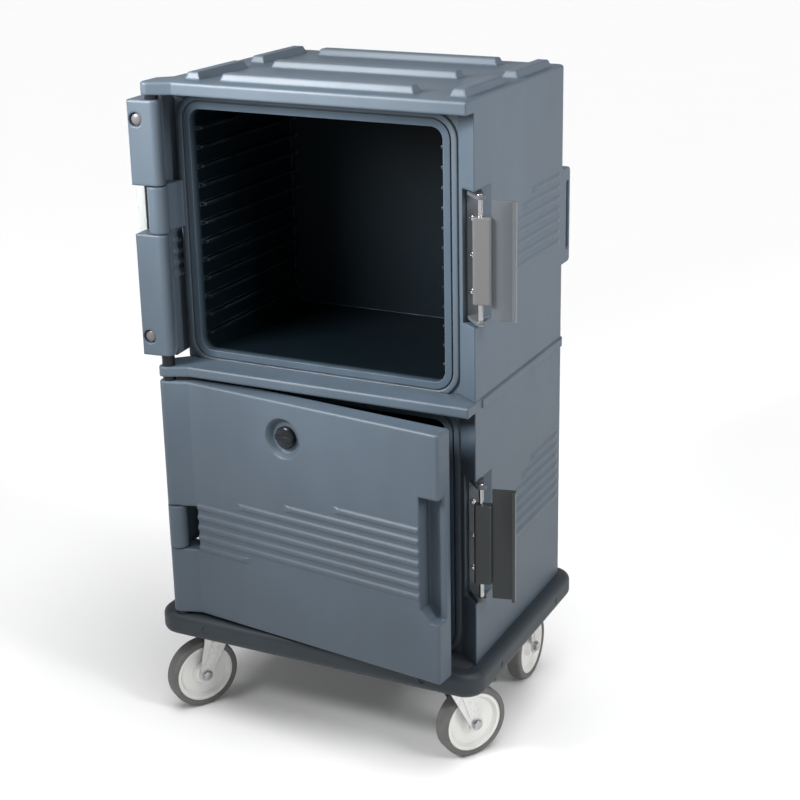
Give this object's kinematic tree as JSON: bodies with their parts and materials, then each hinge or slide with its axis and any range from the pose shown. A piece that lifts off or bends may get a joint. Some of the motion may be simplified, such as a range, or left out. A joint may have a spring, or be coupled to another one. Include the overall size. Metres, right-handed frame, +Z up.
{
  "type": "insulated food pan carrier",
  "caption": "Tall insulated cart with stacked pan compartments behind side-hinged doors, side latches, vent caps, a bumper base and casters, for moving and holding hot or cold food pans.",
  "frame": {"origin": "on the floor below the middle of the bumper", "axes": "+Z up, doors on the -Y side, hinges on the -X side, latches on the +X side"},
  "size_m": [0.85, 0.7066, 1.372],
  "materials": {
    "slate_shell": "moulded, fine texture",
    "dark_liner": "moulded, satin",
    "foam": "closed cell foam",
    "dark_bumper": "moulded, satin",
    "base_black": "moulded",
    "gasket": "soft, matte",
    "steel": "bright",
    "chrome": "polished",
    "latch_dark": "satin",
    "latch_grey": "satin",
    "vent_black": "satin",
    "zinc": "zinc plated",
    "wheel_white": "satin",
    "tread_grey": "matte"
  },
  "bodies": {
    "carrier": {"upper_shell": "slate_shell", "lower_shell": "slate_shell", "base_plate": "base_black", "bumper": "dark_bumper", "bumper_screws": "steel", "base_bolts": "steel", "caster_plate_bolts": "steel", "rear_left_fork": "zinc", "rear_right_fork": "zinc", "rear_left_axle": "steel", "rear_right_axle": "steel", "upper_liner": "dark_liner", "upper_foam": "foam", "upper_hinge_pin": "steel", "upper_hinge_bushes": "vent_black", "upper_latch_bracket": "latch_dark", "upper_latch_rod": "chrome", "upper_latch_screws": "steel", "lower_liner": "dark_liner", "lower_foam": "foam", "lower_hinge_pin": "steel", "lower_hinge_bushes": "vent_black", "lower_latch_bracket": "latch_dark", "lower_latch_rod": "chrome", "lower_latch_screws": "steel", "front_left_caster_plate": "zinc", "front_left_kingpin": "steel", "front_right_caster_plate": "zinc", "front_right_kingpin": "steel"},
    "upper_door": {"upper_door_shell": "slate_shell", "upper_door_foam": "foam", "upper_door_panel": "slate_shell", "upper_door_gasket": "gasket", "upper_hinge_end_screws": "steel"},
    "upper_latch": {"upper_latch_lever": "latch_dark", "upper_latch_grip": "latch_grey"},
    "upper_vent": {"upper_vent_cap": "vent_black"},
    "lower_door": {"lower_door_shell": "slate_shell", "lower_door_foam": "foam", "lower_door_panel": "slate_shell", "lower_door_gasket": "gasket", "lower_hinge_end_screws": "steel"},
    "lower_latch": {"lower_latch_lever": "latch_dark", "lower_latch_grip": "latch_dark"},
    "lower_vent": {"lower_vent_cap": "vent_black"},
    "front_left_swivel": {"front_left_fork": "zinc", "front_left_axle": "steel"},
    "front_left_wheel": {"front_left_wheel_disc": "wheel_white", "front_left_tread": "tread_grey"},
    "front_right_swivel": {"front_right_fork": "zinc", "front_right_axle": "steel"},
    "front_right_wheel": {"front_right_wheel_disc": "wheel_white", "front_right_tread": "tread_grey"},
    "brake": {"brake_pedal": "latch_dark"},
    "rear_left_wheel": {"rear_left_wheel_disc": "wheel_white", "rear_left_tread": "tread_grey"},
    "rear_right_wheel": {"rear_right_wheel_disc": "wheel_white", "rear_right_tread": "tread_grey"}
  },
  "joints": [
    {"name": "upper_door_hinge", "type": "hinge", "parent": "carrier", "child": "upper_door", "pos_m": [-0.312, -0.25, 1.06], "axis": [0, 0, 1], "range_deg": [0, 265]},
    {"name": "upper_latch_pivot", "type": "hinge", "parent": "carrier", "child": "upper_latch", "pos_m": [0.354, -0.206, 1.062], "axis": [0, 0, 1], "range_deg": [-158, 77]},
    {"name": "upper_vent_twist", "type": "hinge", "parent": "upper_door", "child": "upper_vent", "pos_m": [-0.33831, 0.02776, 1.247], "axis": [0.9962, 0.0872, 0], "range_deg": [0, 90]},
    {"name": "lower_door_hinge", "type": "hinge", "parent": "carrier", "child": "lower_door", "pos_m": [-0.312, -0.25, 0.5], "axis": [0, 0, 1], "range_deg": [-258, 7]},
    {"name": "lower_latch_pivot", "type": "hinge", "parent": "carrier", "child": "lower_latch", "pos_m": [0.354, -0.206, 0.499], "axis": [0, 0, 1], "range_deg": [-158, 77]},
    {"name": "lower_vent_twist", "type": "hinge", "parent": "lower_door", "child": "lower_vent", "pos_m": [-0.03484, -0.28202, 0.681], "axis": [-0.1219, -0.9925, 0], "range_deg": [0, 90]},
    {"name": "front_left_swivel_turn", "type": "hinge", "parent": "carrier", "child": "front_left_swivel", "pos_m": [-0.29, -0.182, 0.165], "axis": [0, 0, 1], "continuous": true},
    {"name": "front_left_wheel_roll", "type": "hinge", "parent": "front_left_swivel", "child": "front_left_wheel", "pos_m": [-0.30634, -0.20716, 0.076], "axis": [0.8387, -0.5446, 0], "continuous": true},
    {"name": "front_right_swivel_turn", "type": "hinge", "parent": "carrier", "child": "front_right_swivel", "pos_m": [0.29, -0.182, 0.165], "axis": [0, 0, 1], "continuous": true},
    {"name": "front_right_wheel_roll", "type": "hinge", "parent": "front_right_swivel", "child": "front_right_wheel", "pos_m": [0.30634, -0.15684, 0.076], "axis": [-0.8387, 0.5446, 0], "continuous": true},
    {"name": "brake_press", "type": "hinge", "parent": "front_right_swivel", "child": "brake", "pos_m": [0.30307, -0.16187, 0.1565], "axis": [-0.8387, 0.5446, 0], "range_deg": [0, 9]},
    {"name": "rear_left_wheel_roll", "type": "hinge", "parent": "carrier", "child": "rear_left_wheel", "pos_m": [-0.29, 0.182, 0.076], "axis": [1, 0, 0], "continuous": true},
    {"name": "rear_right_wheel_roll", "type": "hinge", "parent": "carrier", "child": "rear_right_wheel", "pos_m": [0.29, 0.182, 0.076], "axis": [1, 0, 0], "continuous": true}
  ]
}
